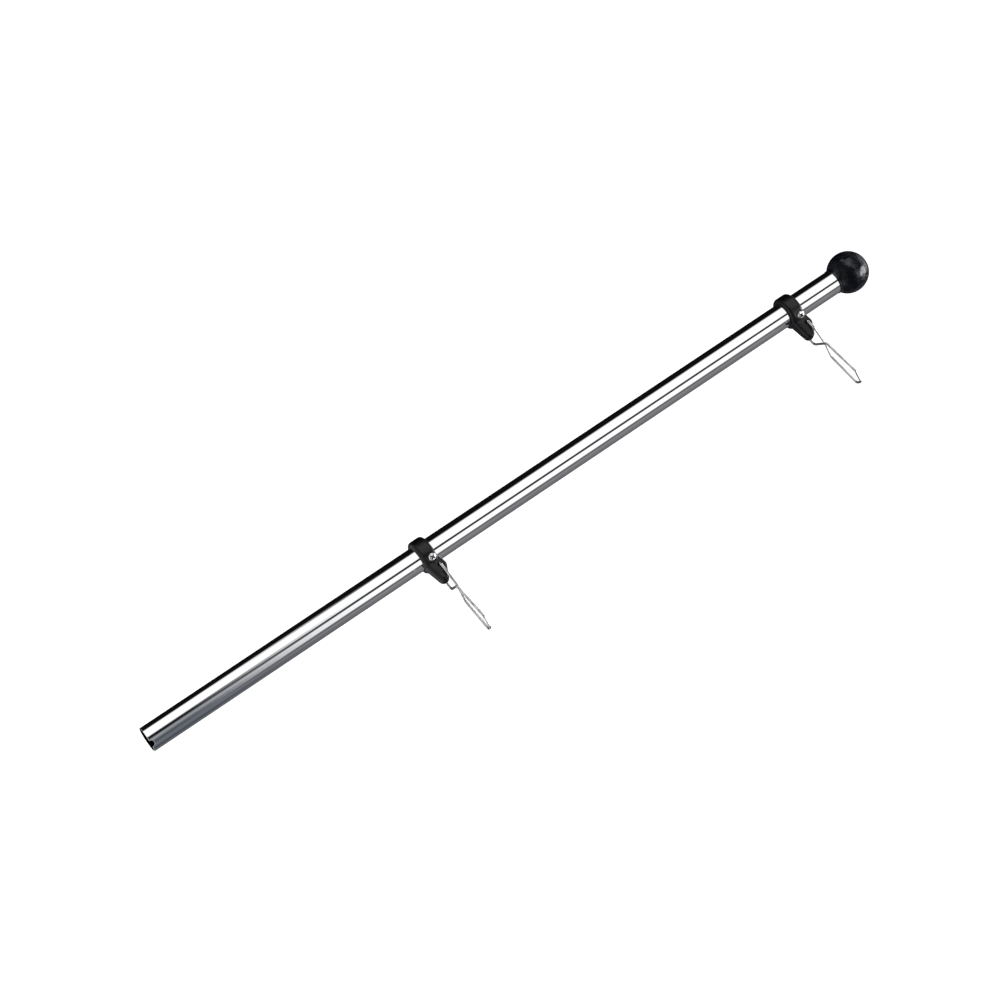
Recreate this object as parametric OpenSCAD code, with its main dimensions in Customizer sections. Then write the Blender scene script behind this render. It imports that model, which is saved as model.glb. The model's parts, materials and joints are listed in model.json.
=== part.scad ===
// Marine flagpole: a polished tube with a moulded ball on top and two nylon
// collars, each with a set screw and a wire snap for one corner of the flag.
// +Z runs up the pole from the butt, +X is the side the flag flies from.

/* [Pole] */
// Outside diameter of the tube
tube_d = 22.2; // [19:0.1:32]
// Wall thickness of the tube
tube_wall = 1.2; // [1:0.1:2]
// Height of the tube's top above its butt
tube_h = 725; // [600:1:1000]
// Break of the tube's rims
rim_break = 0.25; // [0.1:0.05:0.3]

/* [Butt notch] */
// Width of the notch in the butt rim
notch_w = 6; // [3:0.5:8]
// Depth of the notch
notch_depth = 3; // [2:0.5:6]
// Bearing of the notch, counted from the flag side
notch_bearing = -50; // [-90:1:90]

/* [Ball] */
// Diameter of the ball
ball_d = 38; // [30:1:50]
// Height of the neck between the tube's top and the ball
neck_h = 2.95; // [2:0.05:6]
// Length of the spigot inside the tube
spigot_len = 25; // [15:1:40]

/* [Collars] */
// Heights of the two collars above the butt
collar_z = [274, 674];
// Bearings of the two lugs about the pole
collar_bearing = [-13, 0];
// Thickness of the ring around the tube
ring_wall = 4.1; // [3.5:0.1:6]
// Height of the ring
ring_h = 14; // [12:0.5:18]
// Rounding of the ring's outer edges
ring_round = 3.25; // [1:0.25:3.25]
// Running clearance between ring and tube
slide_gap = 0.06; // [0.03:0.01:0.1]

/* [Lugs] */
// Reach of the lug beyond the ring
lug_reach = 17.1; // [15:0.1:20]
// Height of the lug where it leaves the ring
lug_h = 15.5; // [14:0.5:16]
// Height of the lug around the snap's hole
cheek_h = 12; // [10:0.5:12.5]
// Height of the lug's rounded end
lug_end_h = 9.5; // [8:0.5:11]
// Thickness of the lug across the pole
lug_t = 12.6; // [10:0.2:14]
// Thickness of the lug's rounded end
lug_end_t = 10.6; // [8:0.2:12]
// Distance from the ring's surface to the middle of the snap's hole
hole_out = 3.2; // [2.8:0.1:4]
// Height of the snap's hole above the ring's middle
hole_rise = 3.8; // [2:0.1:4]

/* [Screws] */
// Diameter of the pan head
head_d = 7; // [6:0.1:7.5]
// Height of the pan head
head_h = 2.4; // [2:0.1:2.8]
// Diameter of the screw's shank
shank_d = 3.5; // [3:0.1:4]
// Bearing of each screw, counted from its collar's lug
screw_bearing = -43; // [-90:1:-42]
// Height of each screw above the ring's middle
screw_rise = 1.8; // [0:0.1:2]

/* [Snaps] */
// Diameter of the spring wire
wire_d = 2.2; // [1.8:0.1:2.4]
// Distance from the lug's hole to the neck where the wires cross
neck_at = 24; // [22:0.5:30]
// Distance from the lug's hole to the corner of the wire at the tip
tip_at = 71.5; // [66:0.5:90]
// Width of the long loop between the middles of its wires
loop_w = 14; // [11:0.5:18]
// Reach of the snap's eye behind the lug, from the lug's middle
rear_y = 12; // [10:0.5:14]
// Angle of each snap above square to the pole
snap_lift = [-1, 4.5];

/* [Hidden] */
LOWER = 0;
UPPER = 1;
ROUND_FN = 96;
SMALL_FN = 32;
CUT = 0.5;                                    // a cutter's overrun past the surface it cuts

tube_r = tube_d / 2;
bore_r = tube_r - tube_wall;
press_gap = 0.05;                             // spigot to tube, and screw to its hole
spigot_lead = 1.5;                            // taper on the spigot's lower end
neck_r = tube_r + 0.5;
ball_rise = neck_h + sqrt(pow(ball_d / 2, 2) - pow(neck_r, 2));
ball_z = tube_h + ball_rise;
ring_in_r = tube_r + slide_gap;
ring_r = tube_r + ring_wall;
lug_edge = 3;                                 // rounding of the lug's edges
lug_x = ring_r + lug_reach;                   // the lug's far end
lug_root = [ring_r - 3.2, 1.2];                // middles of the lug's root and end, out from the axis and up
lug_end = [lug_x - lug_end_h / 2, 0.3];
hole_gap = 0.5;                               // slack of the wire in the lug's hole
hole_r = wire_d / 2 + hole_gap;
hole_x = ring_r + hole_out;
seat_sink = 1;                                // depth of the spot face under the screw head
seat_r = head_d / 2 + 0.6;
head_seat = ring_r - seat_sink;
recess_w = 1.3;
recess_l = 4.4;
recess_depth = 1.3;
eye_y = lug_t / 2 + wire_d / 2 + 1.6;         // middle of the eye's front wire beside the lug
eye_end = hole_out + 4.3;                     // where that wire turns in to the neck
rear_end = neck_at - 7.5;                     // where the eye's rear wire turns in
loop_y = loop_w / 2;
near_shoulder = neck_at + 12;                 // where the front strand meets the loop's side
far_shoulder = tip_at - 9.5;
cross_lay = 0.6 * wire_d;                     // height of one strand above the snap's plane, and of the other below
kink_at = neck_at + 2.4;                      // where the loop's rear side turns in to the neck
kink_bend = 2.6;
eye_bend = 3;
eye_end_bend = 6;
rear_bend = 4;
rear_end_bend = 6;
neck_bend = 14;
shoulder_bend = 5;
tip_bend = 2.8;
pin_lap = 0.2;                                // the pin stops this far before the wire's bend
swept_r = 0.995 * wire_d / 2;
WIRE_SIDES = 12;
BEND_STEP = 15;

// Tube wall as one turned profile with broken rims, notched at the butt.
module pole_tube() {
    wall = [[bore_r + rim_break, 0], [tube_r - rim_break, 0], [tube_r, rim_break],
            [tube_r, tube_h - rim_break], [tube_r - rim_break, tube_h],
            [bore_r + rim_break, tube_h], [bore_r, tube_h - rim_break], [bore_r, rim_break]];
    color("silver") difference() {
        rotate_extrude($fn = ROUND_FN) polygon(wall);
        rotate([0, 0, notch_bearing]) butt_notch();
    }
}

// Round-bottomed notch through one side of the tube's wall.
module butt_notch() {
    flat = notch_depth - notch_w / 2;
    translate([0, -notch_w / 2, -CUT]) cube([tube_d, notch_w, CUT + max(flat, 0)]);
    translate([0, 0, flat]) rotate([0, 90, 0]) cylinder(d = notch_w, h = tube_d, $fn = SMALL_FN);
}

// Ball, the short neck that sits on the tube's rim, and the spigot inside it.
module ball_finial() {
    color("black") union() {
        translate([0, 0, ball_z]) sphere(d = ball_d, $fn = ROUND_FN);
        translate([0, 0, tube_h]) cylinder(r = neck_r, h = ball_rise, $fn = ROUND_FN);
        translate([0, 0, tube_h - spigot_len]) rotate_extrude($fn = ROUND_FN) spigot_profile();
    }
}

module spigot_profile() {
    r = bore_r - press_gap;
    polygon([[0, 0], [r - spigot_lead, 0], [r, spigot_lead], [r, spigot_len + CUT], [0, spigot_len + CUT]]);
}

// A disc with rounded edges, its axis along Y.
module pill(r, t) {
    rotate([90, 0, 0]) rotate_extrude($fn = SMALL_FN) intersection() {
        offset(r = lug_edge, $fn = SMALL_FN) square([2 * (r - lug_edge), t - 2 * lug_edge], center = true);
        translate([0, -t]) square([r + 1, 2 * t]);
    }
}

// Half of the ring's section: a bar with rounded outer corners.
module ring_profile() {
    flat = ring_h - 2 * ring_round;
    translate([ring_in_r, -ring_h / 2]) square([ring_wall - slide_gap - ring_round, ring_h]);
    translate([ring_in_r, -flat / 2]) square([ring_wall - slide_gap, flat]);
    for (side = [-1, 1])
        translate([ring_r - ring_round, side * flat / 2]) circle(r = ring_round, $fn = SMALL_FN);
}

// The lug: one smooth body round its root, the snap's hole and its end.
module lug() {
    hull() {
        translate([lug_root.x, 0, lug_root.y]) pill(lug_h / 2, lug_t);
        translate([hole_x, 0, hole_rise]) pill(cheek_h / 2, lug_t);
        translate([lug_end.x, 0, lug_end.y]) pill(lug_end_h / 2, lug_end_t);
    }
}

// One collar: ring and lug, drilled for the tube, the snap and the screw.
module collar(z, bearing) {
    color("dimgray") translate([0, 0, z]) rotate([0, 0, bearing]) difference() {
        union() {
            rotate_extrude($fn = ROUND_FN) ring_profile();
            lug();
        }
        translate([0, 0, -lug_h]) cylinder(r = ring_in_r, h = 2 * lug_h, $fn = ROUND_FN);
        translate([hole_x, lug_t, hole_rise])
            rotate([90, 0, 0]) cylinder(r = hole_r, h = 2 * lug_t, $fn = SMALL_FN);
        translate([0, 0, screw_rise]) rotate([0, 0, screw_bearing]) rotate([0, 90, 0]) {
            cylinder(d = shank_d + 2 * press_gap, h = ring_r, $fn = SMALL_FN);
            translate([0, 0, head_seat]) cylinder(r = seat_r, h = ring_r, $fn = ROUND_FN);
        }
    }
}

// Pan-head screw, radial, its tip just off the tube.
module collar_screw(z, bearing) {
    head_round = 1.2;
    color("gainsboro") translate([0, 0, z + screw_rise]) rotate([0, 0, bearing + screw_bearing])
    rotate([0, 90, 0]) difference() {
        union() {
            translate([0, 0, ring_in_r]) cylinder(d = shank_d, h = head_seat - ring_in_r + CUT, $fn = SMALL_FN);
            translate([0, 0, head_seat]) rotate_extrude($fn = ROUND_FN) head_profile(head_round);
        }
        for (turn = [45, 135])
            rotate([0, 0, turn])
                translate([-recess_l / 2, -recess_w / 2, head_seat + head_h - recess_depth])
                    cube([recess_l, recess_w, recess_depth + CUT]);
    }
}

module head_profile(edge) {
    square([head_d / 2, head_h - edge]);
    square([head_d / 2 - edge, head_h]);
    translate([head_d / 2 - edge, head_h - edge]) circle(r = edge, $fn = SMALL_FN);
}

function unit(v) = v / norm(v);

// Points and headings along one bend of a wire, turning from one direction to another.
function bend(corner, into, out, r) =
    let (turn = acos(into * out),
         inward = unit(out - (out * into) * into),
         centre = corner - r * tan(turn / 2) * into + r * inward,
         steps = max(2, ceil(turn / BEND_STEP)))
        [for (i = [0:steps]) let (a = turn * i / steps)
            [centre - r * cos(a) * inward + r * sin(a) * into, cos(a) * into + sin(a) * inward]];

// Points and headings along a wire, given as a wire former works: corners, and a bend radius at each.
function wire_path(corners, bends) =
    let (last = len(corners) - 1,
         ways = [for (i = [0:last - 1]) unit(corners[i + 1] - corners[i])])
        concat([[corners[0], ways[0]]],
               [for (i = [1:last - 1]) each bend(corners[i], ways[i - 1], ways[i], bends[i])],
               [[corners[last], ways[last - 1]]]);

// The direction of each ring's first corner, carried along the wire without twist.
function ring_sides(path) =
    [for (i = 0, side = unit(cross(path[0][1], [0.3, 0.2, 1])); i < len(path);
          i = i + 1, side = i < len(path) ? unit(side - (side * path[i][1]) * path[i][1]) : side) side];

module swept_wire(corners, bends) {
    path = wire_path(corners, bends);
    sides = ring_sides(path);
    last = len(path) - 1;
    function corner(i, k) = i * WIRE_SIDES + k % WIRE_SIDES;
    points = [for (i = [0:last], k = [0:WIRE_SIDES - 1])
        let (a = 360 * k / WIRE_SIDES, up = cross(path[i][1], sides[i]))
            path[i][0] + swept_r * (cos(a) * sides[i] + sin(a) * up)];
    skin = [for (i = [0:last - 1], k = [0:WIRE_SIDES - 1])
        [corner(i, k), corner(i + 1, k), corner(i + 1, k + 1), corner(i, k + 1)]];
    ends = [[for (k = [0:WIRE_SIDES - 1]) corner(0, k)], [for (k = [WIRE_SIDES - 1:-1:0]) corner(last, k)]];
    polyhedron(points, concat(skin, ends), convexity = 8);
}

// One wire snap, laid along +X from the lug's hole and then lifted. The wire leaves the pin in the
// hole, crosses to the loop's far side, comes back along the other and crosses under itself.
module snap(z, bearing, lift) {
    pin_end = eye_y - eye_bend - pin_lap;
    sunk = pin_end - pin_lap;
    front = [[0, -sunk, 0], [0, -eye_y, 0], [eye_end, -eye_y, 0], [neck_at, 0, cross_lay],
             [near_shoulder, loop_y, 0], [tip_at - 3.5, loop_y, 0], [tip_at, 0, 0]];
    back = [[far_shoulder, -loop_y, 0], [kink_at, -loop_y, -cross_lay],
            [rear_end, rear_y, -cross_lay], [0, rear_y, 0], [0, sunk, 0]];
    front_bends = [0, eye_bend, eye_end_bend, neck_bend, shoulder_bend, shoulder_bend - 2, tip_bend];
    back_bends = [shoulder_bend, kink_bend, rear_end_bend, rear_bend];
    color("lightgray") translate([0, 0, z]) rotate([0, 0, bearing])
        translate([hole_x, 0, hole_rise]) rotate([0, -lift, 0]) union() {
            translate([0, pin_end, 0]) rotate([90, 0, 0]) cylinder(d = wire_d, h = 2 * pin_end, $fn = SMALL_FN);
            swept_wire(concat(front, back), concat(front_bends, back_bends));
        }
}

pole_tube();
ball_finial();
collar(collar_z[LOWER], collar_bearing[LOWER]);  // lower_collar
collar_screw(collar_z[LOWER], collar_bearing[LOWER]);  // lower_collar_screw
snap(collar_z[LOWER], collar_bearing[LOWER], snap_lift[LOWER]);  // lower_snap
collar(collar_z[UPPER], collar_bearing[UPPER]);  // upper_collar
collar_screw(collar_z[UPPER], collar_bearing[UPPER]);  // upper_collar_screw
snap(collar_z[UPPER], collar_bearing[UPPER], snap_lift[UPPER]);  // upper_snap
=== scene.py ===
# %% [markdown]
# # A boat's flagpole
# The object is a polished steel tube with a moulded ball on top. Two nylon collars slide on it, each held
# by a set screw, and each carries a snap of bent spring wire for one corner of the flag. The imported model
# gives the frame, the joints and the driving sizes, so it is loaded first. The camera, the studio's light
# and the finishes can't be read from it, and are stated here.

import json
import math

import bmesh
import bpy
from mathutils import Matrix, Vector


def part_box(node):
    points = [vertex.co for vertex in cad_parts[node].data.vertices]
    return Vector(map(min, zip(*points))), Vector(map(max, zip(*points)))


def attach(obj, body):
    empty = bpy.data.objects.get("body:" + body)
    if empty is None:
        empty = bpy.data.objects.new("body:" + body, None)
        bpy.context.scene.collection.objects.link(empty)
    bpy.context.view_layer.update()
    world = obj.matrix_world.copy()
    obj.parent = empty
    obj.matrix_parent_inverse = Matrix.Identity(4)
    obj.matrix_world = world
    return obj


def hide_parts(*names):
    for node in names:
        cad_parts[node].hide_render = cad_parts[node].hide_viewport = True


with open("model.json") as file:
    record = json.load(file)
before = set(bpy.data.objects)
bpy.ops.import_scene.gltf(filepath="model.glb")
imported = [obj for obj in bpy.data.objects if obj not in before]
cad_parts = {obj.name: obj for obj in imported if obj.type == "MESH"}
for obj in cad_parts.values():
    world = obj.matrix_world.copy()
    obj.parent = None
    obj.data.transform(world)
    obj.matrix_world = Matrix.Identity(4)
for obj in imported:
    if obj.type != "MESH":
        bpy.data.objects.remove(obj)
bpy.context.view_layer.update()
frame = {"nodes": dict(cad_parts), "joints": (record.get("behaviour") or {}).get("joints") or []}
MM = 0.001
print("nodes:", sorted(frame["nodes"]))

# %% [markdown]
# The sizes of the tube and the ball, and the places of the joints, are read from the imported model, so they
# follow a change there. What a box can't tell, such as the tube's wall, the lug's heights or the bend radii
# of the wire, is stated beside the piece it shapes, and has to be kept the same as in the model.

# %% Sizes from the frame
tube_low, tube_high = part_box("pole_tube")
ball_low, ball_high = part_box("ball_finial")
TUBE_R = (tube_high.x - tube_low.x) / 2
TUBE_H = tube_high.z
WALL = 1.2 * MM
BALL_R = (ball_high.x - ball_low.x) / 2
BALL_Z = ball_high.z - BALL_R
JOINTS = {joint["child"]: joint for joint in frame["joints"]}
print(f"tube {2 * TUBE_R / MM:.1f} mm by {TUBE_H / MM:.0f} mm")
print(f"ball {2 * BALL_R / MM:.1f} mm at {BALL_Z / MM:.1f} mm")


# %% [markdown]
# ## Camera
# The pole is seen from a little below its butt and from the side of the set screws, and the camera is
# rolled so that the pole climbs to the right. A camera's own axes are its right, its up and its back.
# They are worked out here from the view direction and the slope that the pole is to have in the render.

# %% Camera
VIEW_AZIMUTH, VIEW_ELEVATION = math.radians(15), math.radians(-16.5)
VIEW_DISTANCE = 1.9
POLE_SLOPE = math.radians(33.72)
LENS, SHIFT_X, SHIFT_Y = 80.85, -0.0082, -0.0012

away = Vector((math.sin(VIEW_AZIMUTH) * math.cos(VIEW_ELEVATION),
               -math.cos(VIEW_AZIMUTH) * math.cos(VIEW_ELEVATION), math.sin(VIEW_ELEVATION)))
side = (-away).cross(Vector((0, 0, 1))).normalized()
along = side.cross(-away)
right = math.cos(POLE_SLOPE) * along + math.sin(POLE_SLOPE) * side
up = math.sin(POLE_SLOPE) * along - math.cos(POLE_SLOPE) * side
camera_data = bpy.data.cameras.new("camera")
camera_data.lens = LENS
camera_data.shift_x, camera_data.shift_y = SHIFT_X, SHIFT_Y
camera_data.clip_end = 20
camera = bpy.data.objects.new("camera", camera_data)
bpy.context.scene.collection.objects.link(camera)
camera_place = Vector((0, 0, TUBE_H / 2)) + VIEW_DISTANCE * away
camera.matrix_world = Matrix.Translation(camera_place) @ Matrix((right, up, away)).transposed().to_4x4()
bpy.context.scene.camera = camera
print("camera at", [round(v, 3) for v in camera.matrix_world.translation])


# %% [markdown]
# ## Node helpers
# Shader and geometry trees are built from the same three steps: add a node, set its unlinked inputs,
# join it to others. The first helper does all three in one line, and returns the node. The others put up
# what recurs: a sum, a colour ramp, a blend of two colours and the distance from the pole's axis.

# %% Node helpers
def add(tree, kind, at=None, **links):
    """Adds a node. Names in links are input names with _ for a space, or i0, i1... by position;
    a value is a number, a colour or another node's output socket."""
    node = tree.nodes.new(kind)
    for key, value in (at or {}).items():
        setattr(node, key, value)
    for key, value in links.items():
        socket = node.inputs[int(key[1:])] if key[1:].isdigit() else node.inputs[key.replace("_", " ")]
        if isinstance(value, bpy.types.NodeSocket):
            tree.links.new(value, socket)
        else:
            socket.default_value = value
    return node


def sum_up(tree, operation, a, b=0.0, c=0.0):
    """One Math node, as its output socket."""
    return add(tree, "ShaderNodeMath", {"operation": operation}, i0=a, i1=b, i2=c).outputs[0]


def ramp(tree, factor, stops):
    """A straight colour ramp through (place, colour) stops, as its colour socket."""
    node = add(tree, "ShaderNodeValToRGB", Fac=factor)
    elements = node.color_ramp.elements
    while len(elements) < len(stops):
        elements.new(0.5)
    for element, (place, colour) in zip(elements, stops):
        element.position = place
        element.color = (*colour, 1)
    return node.outputs["Color"]


def blend_colours(tree, factor, a, b):
    """The colour that runs from a to b with a 0 to 1 mask. Each is a colour or a colour socket."""
    first, second = [end if isinstance(end, bpy.types.NodeSocket) else (*end, 1) for end in (a, b)]
    return add(tree, "ShaderNodeMix", {"data_type": "RGBA"}, i0=factor, i6=first, i7=second).outputs[2]


def from_axis(tree, position):
    """How far a point is from the Z axis, as a socket."""
    level = add(tree, "ShaderNodeVectorMath", {"operation": "MULTIPLY"}, i0=position, i1=(1, 1, 0))
    return add(tree, "ShaderNodeVectorMath", {"operation": "LENGTH"}, i0=level.outputs[0]).outputs["Value"]


# %% [markdown]
# ## Studio
# Polished metal shows only what stands round it, so the studio is built as for any mirror-bright goods:
# a tall white wall of light to each side of the camera, a narrow gap where the camera stands, a
# black flag beyond the wall on one side and a grey one on the other. The world shader paints that ring by
# compass bearing, and a second ring lies low, where the tube's butt looks. Above and below the rings the
# room is dim, so that black plastic stays black and bright wire keeps its edges, with one small light in
# the ceiling. The camera itself sees plain white behind the object.

# %% Studio ring
WHITE, BLACK = (1, 1, 1), (0.004, 0.004, 0.004)
PALE, GREY, DUSK = (0.29, 0.30, 0.33), (0.225, 0.213, 0.218), (0.150, 0.144, 0.150)
SLATE, DIM, DEEP = (0.12, 0.13, 0.15), (0.10, 0.095, 0.10), (0.05, 0.055, 0.065)
STUDIO_STRENGTH = 1.25

# The stops of each ring: a bearing counted from the camera, from -180 to 180 degrees, and its colour
HIGH_RING = [(-180, BLACK), (-76, BLACK), (-62, WHITE), (-3, WHITE), (4, BLACK), (15, BLACK), (21, WHITE),
             (53, WHITE), (62, DIM), (68, DIM), (84, GREY), (110, DUSK), (140, SLATE), (180, BLACK)]
LOW_RING = [(-180, BLACK), (-88, BLACK), (-77, WHITE), (-22, WHITE), (-12, BLACK), (3, BLACK), (17, PALE),
            (44, DEEP), (66, SLATE), (80, SLATE), (105, DEEP), (140, SLATE), (180, BLACK)]

# The elevations, in degrees, between which one part of the studio gives way to the next
LOW_TO_HIGH, HIGH_TO_ROOM = (6.5, 13), (34, 41)
LOW_TO_ROOM, ROOM_TO_CEILING = (-1, -8), (58, 72)


def paint_ring(tree, place, stops):
    """The colour of a ring where place runs from 0 to 1 round the compass."""
    return ramp(tree, place, [(degrees / 360 + 0.5, colour) for degrees, colour in stops])


def by_elevation(tree, sine, limits):
    """A mask that goes from 0 to 1 between two elevations, from the sine of the elevation."""
    start, stop = [math.sin(math.radians(degrees)) for degrees in limits]
    return add(tree, "ShaderNodeMapRange", {"interpolation_type": "SMOOTHSTEP"},
               Value=sine, From_Min=start, From_Max=stop).outputs[0]


world = bpy.data.worlds.new("studio")
world.use_nodes = True
bpy.context.scene.world = world
tree = world.node_tree
tree.nodes.clear()
way = add(tree, "ShaderNodeTexCoord").outputs["Generated"]
turned = add(tree, "ShaderNodeVectorRotate", {"rotation_type": "Z_AXIS"}, Vector=way, Angle=-VIEW_AZIMUTH)
parts = add(tree, "ShaderNodeSeparateXYZ", Vector=turned.outputs[0])
compass = sum_up(tree, "ARCTAN2", parts.outputs["X"], sum_up(tree, "MULTIPLY", parts.outputs["Y"], -1.0))
place = sum_up(tree, "MULTIPLY_ADD", compass, 1 / (2 * math.pi), 0.5)
sine = parts.outputs["Z"]
ring = blend_colours(tree, by_elevation(tree, sine, LOW_TO_HIGH),
                     paint_ring(tree, place, LOW_RING), paint_ring(tree, place, HIGH_RING))
outside = sum_up(tree, "MAXIMUM", by_elevation(tree, sine, HIGH_TO_ROOM),
                 by_elevation(tree, sine, LOW_TO_ROOM))
room = blend_colours(tree, outside, ring, DIM)
dome = blend_colours(tree, by_elevation(tree, sine, ROOM_TO_CEILING), room, WHITE)
seen = add(tree, "ShaderNodeLightPath").outputs["Is Camera Ray"]
shown = blend_colours(tree, seen, dome, WHITE)
background = add(tree, "ShaderNodeBackground", Color=shown, Strength=STUDIO_STRENGTH)
add(tree, "ShaderNodeOutputWorld", Surface=background.outputs[0])
bpy.context.scene.view_settings.view_transform = "Standard"
print("studio ring:", len(HIGH_RING), "stops above and", len(LOW_RING), "below")

# %% [markdown]
# The floor is a plain pale disc at the height that the butt rests on. It fades out at its edge, and it is
# clear from below, because the camera stands lower than the butt. One broad, soft lamp overhead gives the
# moulded pieces their form.

# %% Floor and lamp
FLOOR_R, FLOOR_DROP = 1.0, 0.2 * MM
FADE_START, FADE_END = 0.35 * FLOOR_R, 0.98 * FLOOR_R
LAMP_ACROSS, LAMP_POWER = 1.2, 22
LAMP_PLACE, LAMP_AIM = (0.9, -0.3, 1.9), Vector((0, 0, 0.4))

bpy.ops.mesh.primitive_circle_add(vertices=96, radius=FLOOR_R, fill_type="TRIFAN",
                                  location=(0, 0, -FLOOR_DROP))
floor = bpy.context.object
floor.name = "floor"
paint = bpy.data.materials.new("floor_paint")
paint.use_nodes = True
tree = paint.node_tree
tree.nodes.clear()
where = add(tree, "ShaderNodeTexCoord").outputs["Object"]
reach = add(tree, "ShaderNodeVectorMath", {"operation": "LENGTH"}, i0=where).outputs["Value"]
fade = add(tree, "ShaderNodeMapRange", {"interpolation_type": "SMOOTHSTEP"},
           Value=reach, From_Min=FADE_START, From_Max=FADE_END).outputs[0]
clear = sum_up(tree, "MAXIMUM", fade, add(tree, "ShaderNodeNewGeometry").outputs["Backfacing"])
matt = add(tree, "ShaderNodeBsdfDiffuse", Color=(0.86, 0.86, 0.86, 1))
glass = add(tree, "ShaderNodeBsdfTransparent")
mix = add(tree, "ShaderNodeMixShader", i0=clear, i1=matt.outputs[0], i2=glass.outputs[0])
add(tree, "ShaderNodeOutputMaterial", Surface=mix.outputs[0])
floor.data.materials.append(paint)

lamp_data = bpy.data.lights.new("softbox", "AREA")
lamp_data.shape = "DISK"
lamp_data.size = LAMP_ACROSS
lamp_data.energy = LAMP_POWER
lamp = bpy.data.objects.new("softbox", lamp_data)
bpy.context.scene.collection.objects.link(lamp)
lamp.location = LAMP_PLACE
lamp.rotation_euler = (LAMP_AIM - lamp.location).to_track_quat("-Z", "Y").to_euler()
print("floor radius", FLOOR_R, "m; lamp", LAMP_ACROSS, "m across")


# %% [markdown]
# ## Effects that several finishes share
# Two groups hold them. "moulding" is the slow unevenness of a surface that came out of a mould or off a
# polishing wheel: it gives a blotch mask and a height. "drawn_lines" are the fine marks that drawing or
# turning leaves: noise stretched along one axis. Both are given Object coordinates, or an attribute stored
# on the mesh, so they stay put on the piece.

# %% Shared shader groups
def new_group(name, inputs, outputs):
    """An empty shader group with float inputs (a vector where the default is None) and float outputs."""
    group = bpy.data.node_groups.new(name, "ShaderNodeTree")
    for key, default in inputs.items():
        kind = "NodeSocketVector" if default is None else "NodeSocketFloat"
        socket = group.interface.new_socket(key, in_out="INPUT", socket_type=kind)
        if default is not None:
            socket.default_value = default
    for key in outputs:
        group.interface.new_socket(key, in_out="OUTPUT", socket_type="NodeSocketFloat")
    return group, group.nodes.new("NodeGroupInput"), group.nodes.new("NodeGroupOutput")


moulding, given, result = new_group("moulding", {"Vector": None, "Scale": 100.0, "Contrast": 1.0},
                                    ["Mask", "Height"])
noise = add(moulding, "ShaderNodeTexNoise", Vector=given.outputs["Vector"], Scale=given.outputs["Scale"],
            Detail=3.0, Roughness=0.55)
spread = add(moulding, "ShaderNodeMapRange", Value=noise.outputs["Fac"], From_Min=0.35, From_Max=0.65)
shaped = sum_up(moulding, "POWER", spread.outputs[0], given.outputs["Contrast"])
moulding.links.new(shaped, result.inputs["Mask"])
moulding.links.new(noise.outputs["Fac"], result.inputs["Height"])

drawn_lines, given, result = new_group("drawn_lines", {"Vector": None, "Scale": 2000.0, "Stretch": 0.02},
                                       ["Mask", "Height"])
squeeze = add(drawn_lines, "ShaderNodeCombineXYZ", X=1.0, Y=1.0, Z=given.outputs["Stretch"])
long_way = add(drawn_lines, "ShaderNodeVectorMath", {"operation": "MULTIPLY"},
               i0=given.outputs["Vector"], i1=squeeze.outputs[0])
fine = add(drawn_lines, "ShaderNodeTexNoise", Vector=long_way.outputs[0], Scale=given.outputs["Scale"],
           Detail=4.0, Roughness=0.6)
sharp = add(drawn_lines, "ShaderNodeMapRange", Value=fine.outputs["Fac"], From_Min=0.42, From_Max=0.62)
drawn_lines.links.new(sharp.outputs[0], result.inputs["Mask"])
drawn_lines.links.new(fine.outputs["Fac"], result.inputs["Height"])


def use(tree, group, **links):
    """Places a shared group in a material's tree."""
    return add(tree, "ShaderNodeGroup", {"node_tree": group}, **links)


def new_finish(name, metallic):
    """A material, its tree, its Principled BSDF and its Object coordinates."""
    material = bpy.data.materials.new(name)
    material.use_nodes = True
    tree = material.node_tree
    shader = tree.nodes["Principled BSDF"]
    shader.inputs["Metallic"].default_value = metallic
    return material, tree, shader, add(tree, "ShaderNodeTexCoord").outputs["Object"]


def between(tree, factor, low, high):
    """A value that runs from low to high with a 0 to 1 mask."""
    return add(tree, "ShaderNodeMapRange", Value=factor, To_Min=low, To_Max=high).outputs[0]


def bump(tree, shader, height, distance, before=None):
    """A Bump node that feeds the shader's Normal; before is an earlier bump's normal."""
    node = add(tree, "ShaderNodeBump", Height=height, Distance=distance, Strength=1.0)
    if before is not None:
        tree.links.new(before, node.inputs["Normal"])
    tree.links.new(node.outputs[0], shader.inputs["Normal"])
    return node.outputs[0]


print("groups:", moulding.name, drawn_lines.name)


# %% [markdown]
# ## Finishes
# The tube is mirror-polished stainless: nearly no roughness, long faint lines from the polishing belt, and a
# slow waviness that keeps its long reflections from being perfectly straight. The bore is dull, as drawn, and
# its near-black colour is painted shade inside the tube.

# %% Polished steel of the tube
steel, tree, shader, where = new_finish("polished_steel", 1.0)
lines = use(tree, drawn_lines, Vector=where, Scale=1400.0, Stretch=0.012)
waves = use(tree, moulding, Vector=where, Scale=38.0, Contrast=1.2)
# Painted shade: the bore gets a near-black colour for the shade inside the tube; its higher roughness is the
# drawn finish.
inside = sum_up(tree, "LESS_THAN", from_axis(tree, where), TUBE_R - WALL / 2)
polished = blend_colours(tree, waves.outputs["Mask"], (0.82, 0.83, 0.84), (0.89, 0.89, 0.90))
tree.links.new(blend_colours(tree, inside, polished, (0.05, 0.052, 0.055)), shader.inputs["Base Color"])
outer_rough = between(tree, lines.outputs["Mask"], 0.04, 0.08)
bore_rough = sum_up(tree, "MULTIPLY", inside, 0.5)
tree.links.new(sum_up(tree, "MAXIMUM", outer_rough, bore_rough), shader.inputs["Roughness"])
first = bump(tree, shader, waves.outputs["Height"], 0.025 * MM)
bump(tree, shader, lines.outputs["Height"], 0.002 * MM, first)

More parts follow.
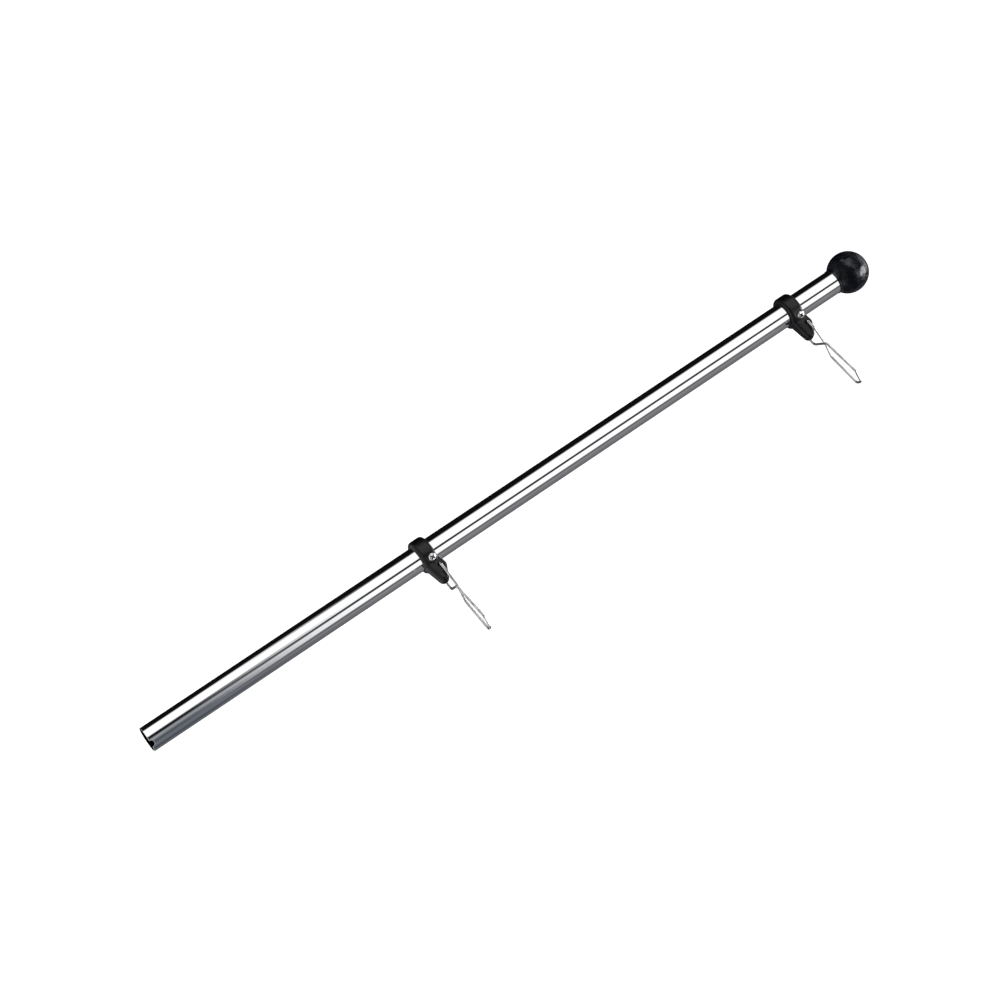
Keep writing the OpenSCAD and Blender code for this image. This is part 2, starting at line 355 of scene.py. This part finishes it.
# %% [markdown]
# The ball is gloss moulded plastic, very dark with a breath of blue. Its skin is uneven, as a thick moulding
# that shrank as it cooled: low dents, and a clear gloss that comes and goes with them. Both come from one
# noise, so each reflected light breaks up into soft patches.

# %% Gloss black of the ball
gloss, tree, shader, where = new_finish("gloss_black", 0.0)
blotch = use(tree, moulding, Vector=where, Scale=95.0, Contrast=1.5)
fine_skin = use(tree, moulding, Vector=where, Scale=900.0, Contrast=1.0)
tree.links.new(blend_colours(tree, blotch.outputs["Mask"], (0.002, 0.003, 0.006), (0.008, 0.011, 0.017)),
               shader.inputs["Base Color"])
tree.links.new(between(tree, blotch.outputs["Mask"], 0.24, 0.12), shader.inputs["Roughness"])
tree.links.new(between(tree, blotch.outputs["Mask"], 0.0, 0.8), shader.inputs["Coat Weight"])
shader.inputs["Specular IOR Level"].default_value = 0.2
shader.inputs["Coat Roughness"].default_value = 0.14
first = bump(tree, shader, blotch.outputs["Height"], 2.4 * MM)
bump(tree, shader, fine_skin.outputs["Height"], 0.02 * MM, first)

# %% [markdown]
# The collars are nylon, nearly black, with a satin surface whose sheen varies in patches, a fine grain, and
# slightly paler edges where hands and halyards rub them. Pointiness finds those edges on the mesh.

# %% Satin black of the collars
nylon, tree, shader, where = new_finish("black_nylon", 0.0)
patches = use(tree, moulding, Vector=where, Scale=160.0, Contrast=1.3)
grain = use(tree, moulding, Vector=where, Scale=2600.0, Contrast=1.0)
edge = add(tree, "ShaderNodeMapRange", Value=add(tree, "ShaderNodeNewGeometry").outputs["Pointiness"],
           From_Min=0.50, From_Max=0.58).outputs[0]
worn_edge = sum_up(tree, "MULTIPLY", edge, patches.outputs["Mask"])
tree.links.new(blend_colours(tree, worn_edge, (0.003, 0.0035, 0.005), (0.012, 0.014, 0.018)),
               shader.inputs["Base Color"])
tree.links.new(between(tree, patches.outputs["Mask"], 0.36, 0.26), shader.inputs["Roughness"])
shader.inputs["Specular IOR Level"].default_value = 0.35
first = bump(tree, shader, patches.outputs["Height"], 0.35 * MM)
bump(tree, shader, grain.outputs["Height"], 0.02 * MM, first)

# %% [markdown]
# The screws and the snaps are bright stainless. The screw heads keep faint turning marks, and painted shade
# darkens the recess by its depth, which the screw's geometry tree stores as an attribute. The wire is duller
# in places, and its smoothness changes slowly along its own length, as drawing leaves it. So its material
# reads the attribute that the wire's tree stores: how far along the wire a point is.

# %% Bright steel of the screws and the wire
screw_steel, tree, shader, where = new_finish("screw_steel", 1.0)
lines = use(tree, drawn_lines, Vector=where, Scale=1600.0, Stretch=0.3)
# Painted shade: the recess's stored depth darkens the steel's colour towards black.
recess_shade_mask = add(tree, "ShaderNodeAttribute", {"attribute_name": "recess_depth"}).outputs["Fac"]
bright = blend_colours(tree, lines.outputs["Mask"], (0.80, 0.80, 0.80), (0.93, 0.93, 0.92))
tree.links.new(blend_colours(tree, recess_shade_mask, bright, (0.03, 0.03, 0.035)), shader.inputs["Base Color"])
tree.links.new(between(tree, lines.outputs["Mask"], 0.16, 0.28), shader.inputs["Roughness"])

wire_steel, tree, shader, where = new_finish("wire_steel", 1.0)
along_wire = add(tree, "ShaderNodeAttribute", {"attribute_name": "wire_way"}).outputs["Vector"]
lines = use(tree, drawn_lines, Vector=along_wire, Scale=2400.0, Stretch=0.02)
waves = use(tree, moulding, Vector=where, Scale=240.0, Contrast=1.0)
tree.links.new(blend_colours(tree, waves.outputs["Mask"], (0.42, 0.42, 0.44), (0.84, 0.84, 0.85)),
               shader.inputs["Base Color"])
tree.links.new(between(tree, lines.outputs["Mask"], 0.10, 0.18), shader.inputs["Roughness"])
print("finishes:", [m.name for m in (steel, gloss, nylon, screw_steel, wire_steel)])


# %% [markdown]
# ## Making meshes
# Turned pieces are drawn as half a section and spun. `turn` does the spin itself, so that it can close the
# ends on the axis and merge the seam. Each finished piece is smooth, with sharp edges only where two faces
# meet at more than a given angle.

# %% Mesh helpers
def new_piece(name, mesh, material, sharp_angle=40):
    """An object at the origin for a finished mesh, smooth but for its sharp edges."""
    mesh.name = name
    mesh.materials.clear()
    mesh.materials.append(material)
    mesh.shade_smooth()
    mesh.set_sharp_from_angle(angle=math.radians(sharp_angle))
    piece = bpy.data.objects.new(name, mesh)
    bpy.context.scene.collection.objects.link(piece)
    return piece


def turn(name, section, steps):
    """A closed mesh: the section, as (radius, height) points in metres from axis to axis, spun round Z."""
    spun = bmesh.new()
    rows = [[spun.verts.new((r * math.cos(2 * math.pi * i / steps), r * math.sin(2 * math.pi * i / steps), z))
             for i in range(steps)] for r, z in section]
    for lower, upper in zip(rows, rows[1:]):
        for i in range(steps):
            spun.faces.new((lower[i], lower[(i + 1) % steps], upper[(i + 1) % steps], upper[i]))
    bmesh.ops.remove_doubles(spun, verts=spun.verts, dist=1e-7)
    bmesh.ops.recalc_face_normals(spun, faces=spun.faces)
    mesh = bpy.data.meshes.new(name)
    spun.to_mesh(mesh)
    spun.free()
    return mesh


def arc(centre, radius, start, stop, steps):
    """Points on an arc of a section, angles in degrees."""
    angles = [math.radians(start + (stop - start) * i / steps) for i in range(steps + 1)]
    return [(centre[0] + radius * math.cos(a), centre[1] + radius * math.sin(a)) for a in angles]


def apply_modifiers(item):
    """The evaluated mesh of an object, which is then removed."""
    bpy.context.view_layer.update()
    evaluated = item.evaluated_get(bpy.context.evaluated_depsgraph_get())
    mesh = bpy.data.meshes.new_from_object(evaluated)
    bpy.data.objects.remove(item)
    return mesh


def temporary(name, mesh):
    """An object that holds a mesh while modifiers work on it."""
    item = bpy.data.objects.new(name, mesh)
    bpy.context.scene.collection.objects.link(item)
    return item


def cut(mesh, cutters, operation="DIFFERENCE"):
    """The mesh less (or joined with) each cutter mesh, by exact booleans."""
    work = temporary("work", mesh)
    tools = [temporary("cutter", cutter) for cutter in cutters]
    for tool in tools:
        boolean = work.modifiers.new("cut", "BOOLEAN")
        boolean.operation = operation
        boolean.solver = "EXACT"
        boolean.object = tool
    result = apply_modifiers(work)
    for tool in tools:
        bpy.data.objects.remove(tool)
    return result


# %% [markdown]
# ## Geometry trees
# A geometry tree is built here like a shader tree. Its sizes are named inputs, and they are set by the
# socket's identifier before the object is first evaluated. The result is made a plain mesh at once, so no
# modifier is left on a finished piece.

# %% Geometry tree helpers
def new_tree(name, inputs):
    """A geometry tree with a mesh in and out, and named float, vector or material inputs."""
    tree = bpy.data.node_groups.new(name, "GeometryNodeTree")
    tree.interface.new_socket("Geometry", in_out="INPUT", socket_type="NodeSocketGeometry")
    for key, kind in inputs.items():
        tree.interface.new_socket(key, in_out="INPUT", socket_type="NodeSocket" + kind)
    tree.interface.new_socket("Geometry", in_out="OUTPUT", socket_type="NodeSocketGeometry")
    return tree, tree.nodes.new("NodeGroupInput").outputs, tree.nodes.new("NodeGroupOutput")


def close_tree(tree, out, geometry, material):
    """Ends a tree as every one here ends: smooth, instances realized, material set."""
    smooth = add(tree, "GeometryNodeSetShadeSmooth", Geometry=geometry)
    real = add(tree, "GeometryNodeRealizeInstances", Geometry=smooth.outputs[0])
    dressed = add(tree, "GeometryNodeSetMaterial", Geometry=real.outputs[0], Material=material)
    tree.links.new(dressed.outputs[0], out.inputs[0])


def run_tree(tree, mesh, **values):
    """The plain mesh that the tree makes of a mesh, with its named inputs set."""
    item = temporary("work", mesh)
    modifier = item.modifiers.new("tree", "NODES")
    modifier.node_group = tree
    for socket in tree.interface.items_tree:
        if socket.item_type == "SOCKET" and socket.in_out == "INPUT" and socket.name != "Geometry":
            modifier[socket.identifier] = values.pop(socket.name.replace(" ", "_"))
    assert not values, values
    return apply_modifiers(item)


# %% [markdown]
# ## Tube
# The real tube is drawn, cut to length, deburred and polished, and its butt has a small round notch that a
# peg in the socket keys into. Its shape follows one rule, a wall section carried round a circle, so a
# geometry tree makes it: a filleted rectangle swept round the wall's middle. The notch is not cut. The rim's
# points are lifted along it instead, which leaves the long faces of the tube whole and its reflections
# straight. For the same reason even the shallow edge where the rim's rounding meets the wall is kept sharp.

# %% Tube
NOTCH_W, NOTCH_DEPTH = 6 * MM, 3 * MM
NOTCH_BEARING = math.radians(-50)
RIM = 0.25 * MM

tube_tree, given, out = new_tree("tube_wall", {"Middle Radius": "Float", "Wall": "Float", "Length": "Float",
                                               "Rim": "Float", "Notch Width": "Float", "Notch Depth": "Float",
                                               "Notch Way": "Vector", "Finish": "Material"})
section = add(tube_tree, "GeometryNodeCurvePrimitiveQuadrilateral",
              Width=given["Wall"], Height=given["Length"])
rounded = add(tube_tree, "GeometryNodeFilletCurve", {"mode": "POLY"}, Curve=section.outputs[0],
              Count=5, Radius=given["Rim"])
circle = add(tube_tree, "GeometryNodeCurvePrimitiveCircle", Resolution=288, Radius=given["Middle Radius"])
swept = add(tube_tree, "GeometryNodeCurveToMesh", Curve=circle.outputs[0], Profile_Curve=rounded.outputs[0])
half_length = sum_up(tube_tree, "MULTIPLY", given["Length"], 0.5)
lift = add(tube_tree, "ShaderNodeCombineXYZ", Z=half_length)
raised = add(tube_tree, "GeometryNodeTransform", Geometry=swept.outputs[0], Translation=lift.outputs[0])
spot = add(tube_tree, "GeometryNodeInputPosition").outputs[0]
ahead = add(tube_tree, "ShaderNodeVectorMath", {"operation": "DOT_PRODUCT"}, i0=spot, i1=given["Notch Way"])
across = add(tube_tree, "ShaderNodeVectorMath", {"operation": "CROSS_PRODUCT"},
             i0=spot, i1=given["Notch Way"])
offset = add(tube_tree, "ShaderNodeSeparateXYZ", Vector=across.outputs[0]).outputs["Z"]
notch_r = sum_up(tube_tree, "MULTIPLY", given["Notch Width"], 0.5)
room = sum_up(tube_tree, "SUBTRACT", sum_up(tube_tree, "MULTIPLY", notch_r, notch_r),
              sum_up(tube_tree, "MULTIPLY", offset, offset))
rise = sum_up(tube_tree, "ADD", sum_up(tube_tree, "SQRT", sum_up(tube_tree, "MAXIMUM", room, 0.0)),
              sum_up(tube_tree, "SUBTRACT", given["Notch Depth"], notch_r))
level = add(tube_tree, "ShaderNodeSeparateXYZ", Vector=spot).outputs["Z"]
at_rim = sum_up(tube_tree, "MULTIPLY", sum_up(tube_tree, "LESS_THAN", level, half_length),
                sum_up(tube_tree, "MULTIPLY", sum_up(tube_tree, "GREATER_THAN", ahead.outputs["Value"], 0.0),
                       sum_up(tube_tree, "GREATER_THAN", room, 0.0)))
shift = add(tube_tree, "ShaderNodeCombineXYZ", Z=sum_up(tube_tree, "MULTIPLY", rise, at_rim))
notched = add(tube_tree, "GeometryNodeSetPosition", Geometry=raised.outputs[0], Offset=shift.outputs[0])
close_tree(tube_tree, out, notched.outputs[0], given["Finish"])

tube_mesh = run_tree(tube_tree, bpy.data.meshes.new("seed"), Middle_Radius=TUBE_R - WALL / 2, Wall=WALL,
                     Length=TUBE_H, Rim=RIM, Notch_Width=NOTCH_W, Notch_Depth=NOTCH_DEPTH,
                     Notch_Way=(math.cos(NOTCH_BEARING), math.sin(NOTCH_BEARING), 0.0), Finish=steel)
tube = new_piece("polished_tube", tube_mesh, steel, sharp_angle=5)
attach(tube, "pole")
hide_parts("pole_tube")
print("tube:", len(tube_mesh.polygons), "faces")

# %% [markdown]
# ## Ball
# The ball is one moulding with a short neck that sits on the tube's rim and a spigot that goes inside it.
# Half its section is an arc, a small fillet where ball and neck meet, and the stepped neck, so it is turned.

# %% Ball
NECK_R = TUBE_R + 0.5 * MM
SPIGOT_R = TUBE_R - WALL - 0.05 * MM
SPIGOT_LOW = ball_low.z
FILLET, NECK_ROUND, SPIGOT_CHAMFER = 1.2 * MM, 0.3 * MM, 1.5 * MM

fillet_x = NECK_R + FILLET
fillet_z = BALL_Z - math.sqrt((BALL_R + FILLET) ** 2 - fillet_x ** 2)
touch = math.degrees(math.atan2(fillet_z - BALL_Z, fillet_x))
ball_section = ([(0, SPIGOT_LOW), (SPIGOT_R - SPIGOT_CHAMFER, SPIGOT_LOW),
                 (SPIGOT_R, SPIGOT_LOW + SPIGOT_CHAMFER), (SPIGOT_R, TUBE_H)]
                + arc((NECK_R - NECK_ROUND, TUBE_H + NECK_ROUND), NECK_ROUND, -90, 0, 4)
                + arc((fillet_x, fillet_z), FILLET, 180, 180 + touch, 6)
                + arc((0, BALL_Z), BALL_R, touch, 90, 72)[1:])
ball = new_piece("moulded_ball", turn("moulded_ball", ball_section, 144), gloss, sharp_angle=35)
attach(ball, "pole")
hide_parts("ball_finial")
print("ball:", len(ball.data.polygons), "faces, fillet meets the ball at", round(touch, 1), "degrees")

# %% [markdown]
# ## Collars
# A collar is one nylon moulding: a round-edged ring and a lug that grows out of it and tapers to a rounded
# end. It could be modelled face by face, but a moulding has no sharp inner corners, so the plain solid is
# joined, remeshed to a fine even skin and smoothed, which melts ring and lug together. The holes come after
# that, from turned cutters with flared mouths, so that they stay round and their edges are broken.

# %% Collar shape
RING_WALL, RING_H, RING_ROUND = 4.1 * MM, 14 * MM, 3.25 * MM
RING_R = TUBE_R + RING_WALL
BORE_R = TUBE_R + 0.06 * MM
LUG_REACH, LUG_EDGE = 17.1 * MM, 3 * MM
LUG_H, CHEEK_H, LUG_END_H = 15.5 * MM, 12 * MM, 9.5 * MM
LUG_T, LUG_END_T = 12.6 * MM, 10.6 * MM
HEAD_D, HEAD_H, SHANK_D, SEAT_SINK = 7 * MM, 2.4 * MM, 3.5 * MM, 1 * MM
WIRE_D = 2.2 * MM
HOLE_R = WIRE_D / 2 + 0.5 * MM
HOLE_OUT, HOLE_RISE = 3.2 * MM, 3.8 * MM
HOLE_X = RING_R + HOLE_OUT
SCREW_BEARING, SCREW_RISE = math.radians(-43), 1.8 * MM
MOUTH, SEAT_GAP, SHANK_GAP = 0.5 * MM, 0.6 * MM, 0.05 * MM
SKIN = 0.3 * MM

# The lug's three discs: how far each centre is out from the ring's face and above the ring's middle
ROOT, CHEEK = (-3.2 * MM, 1.2 * MM), (HOLE_OUT, HOLE_RISE)
END = (LUG_REACH - LUG_END_H / 2, 0.3 * MM)


def pill(height, thickness, place):
    """A disc with rounded edges and its axis along Y, at a place on the lug."""
    radius = height / 2
    flat = thickness / 2 - LUG_EDGE
    section = ([(0, -thickness / 2)] + arc((radius - LUG_EDGE, -flat), LUG_EDGE, -90, 0, 8)
               + arc((radius - LUG_EDGE, flat), LUG_EDGE, 0, 90, 8) + [(0, thickness / 2)])
    mesh = turn("pill", section, 48)
    out, up = place
    mesh.transform(Matrix.Translation((RING_R + out, 0, up)) @ Matrix.Rotation(math.pi / 2, 4, "X"))
    return mesh


def hull_of(meshes):
    """The closed skin stretched round several meshes."""
    joined = bmesh.new()
    for mesh in meshes:
        joined.from_mesh(mesh)
    hull = bmesh.ops.convex_hull(joined, input=joined.verts)
    inner = [item for item in hull["geom_interior"] if isinstance(item, bmesh.types.BMVert)]
    bmesh.ops.delete(joined, geom=inner, context="VERTS")
    bmesh.ops.recalc_face_normals(joined, faces=joined.faces)
    mesh = bpy.data.meshes.new("hull")
    joined.to_mesh(mesh)
    joined.free()
    return mesh


def flared_pin(radius, low, high):
    """A turned cutter whose ends at low and high open into round mouths, and reach on past them."""
    wide, reach = radius + MOUTH, 2 * MM
    section = ([(0, low - reach), (wide, low - reach)] + arc((wide, low + MOUTH), MOUTH, 270, 180, 5)
               + arc((wide, high - MOUTH), MOUTH, 180, 90, 5) + [(wide, high + reach), (0, high + reach)])
    return turn("cutter", section, 96)


round_x, round_z = RING_R - RING_ROUND, RING_H / 2 - RING_ROUND
ring_section = ([(0, -RING_H / 2)] + arc((round_x, -round_z), RING_ROUND, -90, 0, 10)
                + arc((round_x, round_z), RING_ROUND, 0, 90, 10) + [(0, RING_H / 2)])
lug_mesh = hull_of([pill(LUG_H, LUG_T, ROOT), pill(CHEEK_H, LUG_T, CHEEK), pill(LUG_END_H, LUG_END_T, END)])
rough_collar = cut(turn("ring", ring_section, 192), [lug_mesh], "UNION")
work = temporary("work", rough_collar)
remesh = work.modifiers.new("skin", "REMESH")
remesh.mode = "VOXEL"
remesh.voxel_size = SKIN
smooth = work.modifiers.new("melt", "SMOOTH")
smooth.factor = 0.5
smooth.iterations = 10
soft_collar = apply_modifiers(work)
print("collar skin:", len(soft_collar.polygons), "faces")

# %% [markdown]
# The three holes are the bore for the tube, the hole through the lug that the snap's wire turns in, and the
# screw's hole with the flat seat its head sits in.

# %% Collar holes
bore = flared_pin(BORE_R, -RING_H / 2, RING_H / 2)
cheek = LUG_T / 2 - 0.25 * MM
wire_hole = flared_pin(HOLE_R, -cheek, cheek)
wire_hole.transform(Matrix.Translation((HOLE_X, 0, HOLE_RISE)) @ Matrix.Rotation(math.pi / 2, 4, "X"))
seat = RING_R - SEAT_SINK
seat_r, shank_hole_r = HEAD_D / 2 + SEAT_GAP, SHANK_D / 2 + SHANK_GAP
hole_low, hole_high = BORE_R - 1 * MM, RING_R + 3 * MM
seat_section = [(0, hole_low), (shank_hole_r, hole_low), (shank_hole_r, seat),
                (seat_r, seat), (seat_r, hole_high), (0, hole_high)]
screw_hole = turn("cutter", seat_section, 96)
screw_hole.transform(Matrix.Translation((0, 0, SCREW_RISE)) @ Matrix.Rotation(SCREW_BEARING, 4, "Z")
                     @ Matrix.Rotation(math.pi / 2, 4, "Y"))
collar_mesh = cut(soft_collar, [bore, wire_hole, screw_hole])


def place_by_joint(name):
    """Height and bearing of a collar, read from the joint of the snap it carries."""
    hinge = Vector(JOINTS[name.replace("collar", "snap")]["pos_m"])
    turned = Matrix.Rotation(math.atan2(hinge.y, hinge.x), 4, "Z")
    return Matrix.Translation((0, 0, hinge.z - HOLE_RISE)) @ turned


for name in ("lower_collar", "upper_collar"):
    mesh = collar_mesh.copy()
    mesh.transform(place_by_joint(name))
    piece = new_piece(name + "_moulding", mesh, nylon, sharp_angle=45)
    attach(piece, name)
    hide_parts(name)
    print(piece.name, len(mesh.polygons), "faces")

# %% [markdown]
# ## Set screws
# Each collar has one pan-head screw, put in from the side. The same screw is used twice, so a geometry tree
# makes it: it takes the turned blank, sinks a cross recess in the head and sets the screw in place by the
# collar's height and the screw's bearing.

# %% Set screws
RECESS_W, RECESS_L, RECESS_DEPTH = 1.3 * MM, 4.4 * MM, 1.3 * MM
RECESS_SPREAD = 0.53  # radius of the painted recess shade, as a share of the recess's length: just past its corners
HEAD_ROUND, HEAD_BREAK, TIP_BREAK = 1.2 * MM, 0.2 * MM, 0.3 * MM

head_top, head_r, shank_r = seat + HEAD_H, HEAD_D / 2, SHANK_D / 2
blank_section = ([(0, BORE_R), (shank_r - TIP_BREAK, BORE_R), (shank_r, BORE_R + TIP_BREAK), (shank_r, seat),
                  (head_r - HEAD_BREAK, seat), (head_r, seat + HEAD_BREAK)]
                 + arc((head_r - HEAD_ROUND, head_top - HEAD_ROUND), HEAD_ROUND, 0, 80, 10) + [(0, head_top)])
screw_tree, given, out = new_tree("set_screw", {
    "Recess Width": "Float", "Recess Length": "Float", "Recess Depth": "Float", "Head Top": "Float",
    "Height": "Float", "Bearing": "Float", "Finish": "Material"})
bar_size = add(screw_tree, "ShaderNodeCombineXYZ", X=given["Recess Length"], Y=given["Recess Width"],
               Z=sum_up(screw_tree, "MULTIPLY", given["Recess Depth"], 2.0))
bar = add(screw_tree, "GeometryNodeMeshCube", Size=bar_size.outputs[0])
bar_top = add(screw_tree, "ShaderNodeCombineXYZ", Z=given["Head Top"])
cross = add(screw_tree, "GeometryNodeJoinGeometry")
for turned_by in (math.pi / 4, -math.pi / 4):
    arm = add(screw_tree, "GeometryNodeTransform", Geometry=bar.outputs[0], Translation=bar_top.outputs[0],
              Rotation=(0, 0, turned_by))
    screw_tree.links.new(arm.outputs[0], cross.inputs[0])
sunk = add(screw_tree, "GeometryNodeMeshBoolean", {"operation": "DIFFERENCE", "solver": "EXACT"},
           i0=given["Geometry"], i1=cross.outputs[0], Self_Intersection=True)
spot = add(screw_tree, "GeometryNodeInputPosition").outputs[0]
# Painted shade: each point in the cross recess stores how deep it lies, so the material can darken it.
in_cross = sum_up(screw_tree, "LESS_THAN", from_axis(screw_tree, spot),
                  sum_up(screw_tree, "MULTIPLY", given["Recess Length"], RECESS_SPREAD))
drop = sum_up(screw_tree, "SUBTRACT", given["Head Top"],
              add(screw_tree, "ShaderNodeSeparateXYZ", Vector=spot).outputs["Z"])
depth = sum_up(screw_tree, "MULTIPLY", in_cross, sum_up(screw_tree, "DIVIDE", drop, given["Recess Depth"]))
marked = add(screw_tree, "GeometryNodeStoreNamedAttribute", {"data_type": "FLOAT", "domain": "POINT"},
             Geometry=sunk.outputs[0], Name="recess_depth",
             Value=sum_up(screw_tree, "MINIMUM", depth, 1.0))
laid = add(screw_tree, "GeometryNodeTransform", Geometry=marked.outputs[0], Rotation=(0, math.pi / 2, 0))
spin = add(screw_tree, "ShaderNodeCombineXYZ", Z=given["Bearing"])
stand = add(screw_tree, "ShaderNodeCombineXYZ", Z=given["Height"])
set_in = add(screw_tree, "GeometryNodeTransform", Geometry=laid.outputs[0], Translation=stand.outputs[0],
             Rotation=spin.outputs[0])
close_tree(screw_tree, out, set_in.outputs[0], given["Finish"])

for name in ("lower_collar", "upper_collar"):
    place = place_by_joint(name)
    mesh = run_tree(screw_tree, turn("blank", blank_section, 72), Recess_Width=RECESS_W,
                    Recess_Length=RECESS_L, Recess_Depth=RECESS_DEPTH, Head_Top=head_top,
                    Height=place.translation.z + SCREW_RISE, Bearing=place.to_euler().z + SCREW_BEARING,
                    Finish=screw_steel)
    piece = new_piece(name + "_set_screw", mesh, screw_steel, sharp_angle=35)
    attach(piece, name)
    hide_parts(name + "_screw")
    print(piece.name, len(mesh.polygons), "faces")


# %% [markdown]
# ## Snaps
# A snap is bent from one length of spring wire: it passes through the lug, comes round both sides of it,
# crosses over itself at a neck, and runs out as a long loop. The wire's two ends meet inside the lug, so
# its path is closed. A wire former works from corners and a bend radius at each, and so does this cell. A
# geometry tree then sweeps a round section along the path and stores how far along the wire each point is.

# %% Wire route
def bend(corner, into, out_way, radius, step=6):
    """Points along one bend of a wire, from one heading to another."""
    turned = into.angle(out_way)
    inward = (out_way - into * out_way.dot(into)).normalized()
    centre = corner - into * radius * math.tan(turned / 2) + inward * radius
    steps = max(3, math.ceil(math.degrees(turned) / step))
    angles = [turned * i / steps for i in range(steps + 1)]
    return [centre - inward * radius * math.cos(a) + into * radius * math.sin(a) for a in angles]


def wire_route(corners, radii):
    """The closed route through its corners, with straight runs cut into short steps."""
    corners = [Vector(c) for c in corners]
    ways = [(after - c).normalized() for c, after in zip(corners, corners[1:] + corners[:1])]
    bends = [bend(c, ways[i - 1], ways[i], radius) for i, (c, radius) in enumerate(zip(corners, radii))]
    route = []
    for here, after in zip(bends, bends[1:] + bends[:1]):
        runs = max(1, round((after[0] - here[-1]).length / (2 * MM)))
        route += here + [here[-1].lerp(after[0], k / runs) for k in range(1, runs)]
    return route


NECK, TIP, LOOP_Y, REAR_Y = 24 * MM, 71.5 * MM, 7 * MM, 12 * MM
EYE_Y = LUG_T / 2 + WIRE_D / 2 + 1.6 * MM
EYE_END, REAR_END = HOLE_OUT + 4.3 * MM, NECK - 7.5 * MM
KINK, NEAR_SHOULDER, FAR_SHOULDER = NECK + 2.4 * MM, NECK + 12 * MM, TIP - 9.5 * MM
LAY = 0.6 * WIRE_D  # how far each strand moves aside, so that the two pass at the neck

# Each corner of the wire's path, from the middle of the lug's hole, and its bend radius in millimetres
wire_corners = [((0, -EYE_Y, 0), 3), ((EYE_END, -EYE_Y, 0), 6), ((NECK, 0, LAY), 14),
                ((NEAR_SHOULDER, LOOP_Y, 0), 5), ((TIP - 3.5 * MM, LOOP_Y, 0), 3), ((TIP, 0, 0), 2.8),
                ((FAR_SHOULDER, -LOOP_Y, 0), 5), ((KINK, -LOOP_Y, -LAY), 2.6),
                ((REAR_END, REAR_Y, -LAY), 6), ((0, REAR_Y, 0), 4)]
route = wire_route([corner for corner, radius in wire_corners],
                   [radius * MM for corner, radius in wire_corners])
wire_length = sum((b - a).length for a, b in zip(route, route[1:] + route[:1]))
print("wire:", len(route), "points,", round(wire_length / MM, 1), "mm round")

# %% [markdown]
# The sweep is a Curve to Mesh: a circle carried along the closed path. The length along the wire is stored
# on the path before the sweep, and the swept points inherit it.

# %% Snaps
wire_tree, given, out = new_tree("sprung_wire", {"Wire Radius": "Float", "Finish": "Material"})
line = add(wire_tree, "GeometryNodeMeshToCurve", Mesh=given["Geometry"])
length_so_far = add(wire_tree, "GeometryNodeSplineParameter").outputs["Length"]
stored = add(wire_tree, "GeometryNodeStoreNamedAttribute", {"data_type": "FLOAT_VECTOR", "domain": "POINT"},
             Geometry=line.outputs[0], Name="wire_way",
             Value=add(wire_tree, "ShaderNodeCombineXYZ", Z=length_so_far).outputs[0])
wire_round = add(wire_tree, "GeometryNodeCurvePrimitiveCircle", Resolution=28, Radius=given["Wire Radius"])
wire_swept = add(wire_tree, "GeometryNodeCurveToMesh", Curve=stored.outputs[0],
                 Profile_Curve=wire_round.outputs[0])
close_tree(wire_tree, out, wire_swept.outputs[0], given["Finish"])


def closed_line(points):
    """A mesh of edges alone, from each point to the next and back to the first."""
    mesh = bpy.data.meshes.new("line")
    edges = [(i, (i + 1) % len(points)) for i in range(len(points))]
    mesh.from_pydata([tuple(point) for point in points], edges, [])
    return mesh


SNAP_LIFT = {"lower_snap": -1.0, "upper_snap": 4.5}  # degrees above level
SWEEP_R = 0.995 * WIRE_D / 2  # a hair under the drawn radius
for name, lifted in SNAP_LIFT.items():
    collar_place = place_by_joint(name.replace("snap", "collar"))
    mesh = run_tree(wire_tree, closed_line(route), Wire_Radius=SWEEP_R, Finish=wire_steel)
    mesh.transform(collar_place @ Matrix.Translation((HOLE_X, 0, HOLE_RISE))
                   @ Matrix.Rotation(math.radians(-lifted), 4, "Y"))
    piece = new_piece(name + "_wire", mesh, wire_steel, sharp_angle=60)
    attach(piece, name)
    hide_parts(name)
    print(piece.name, len(mesh.polygons), "faces")
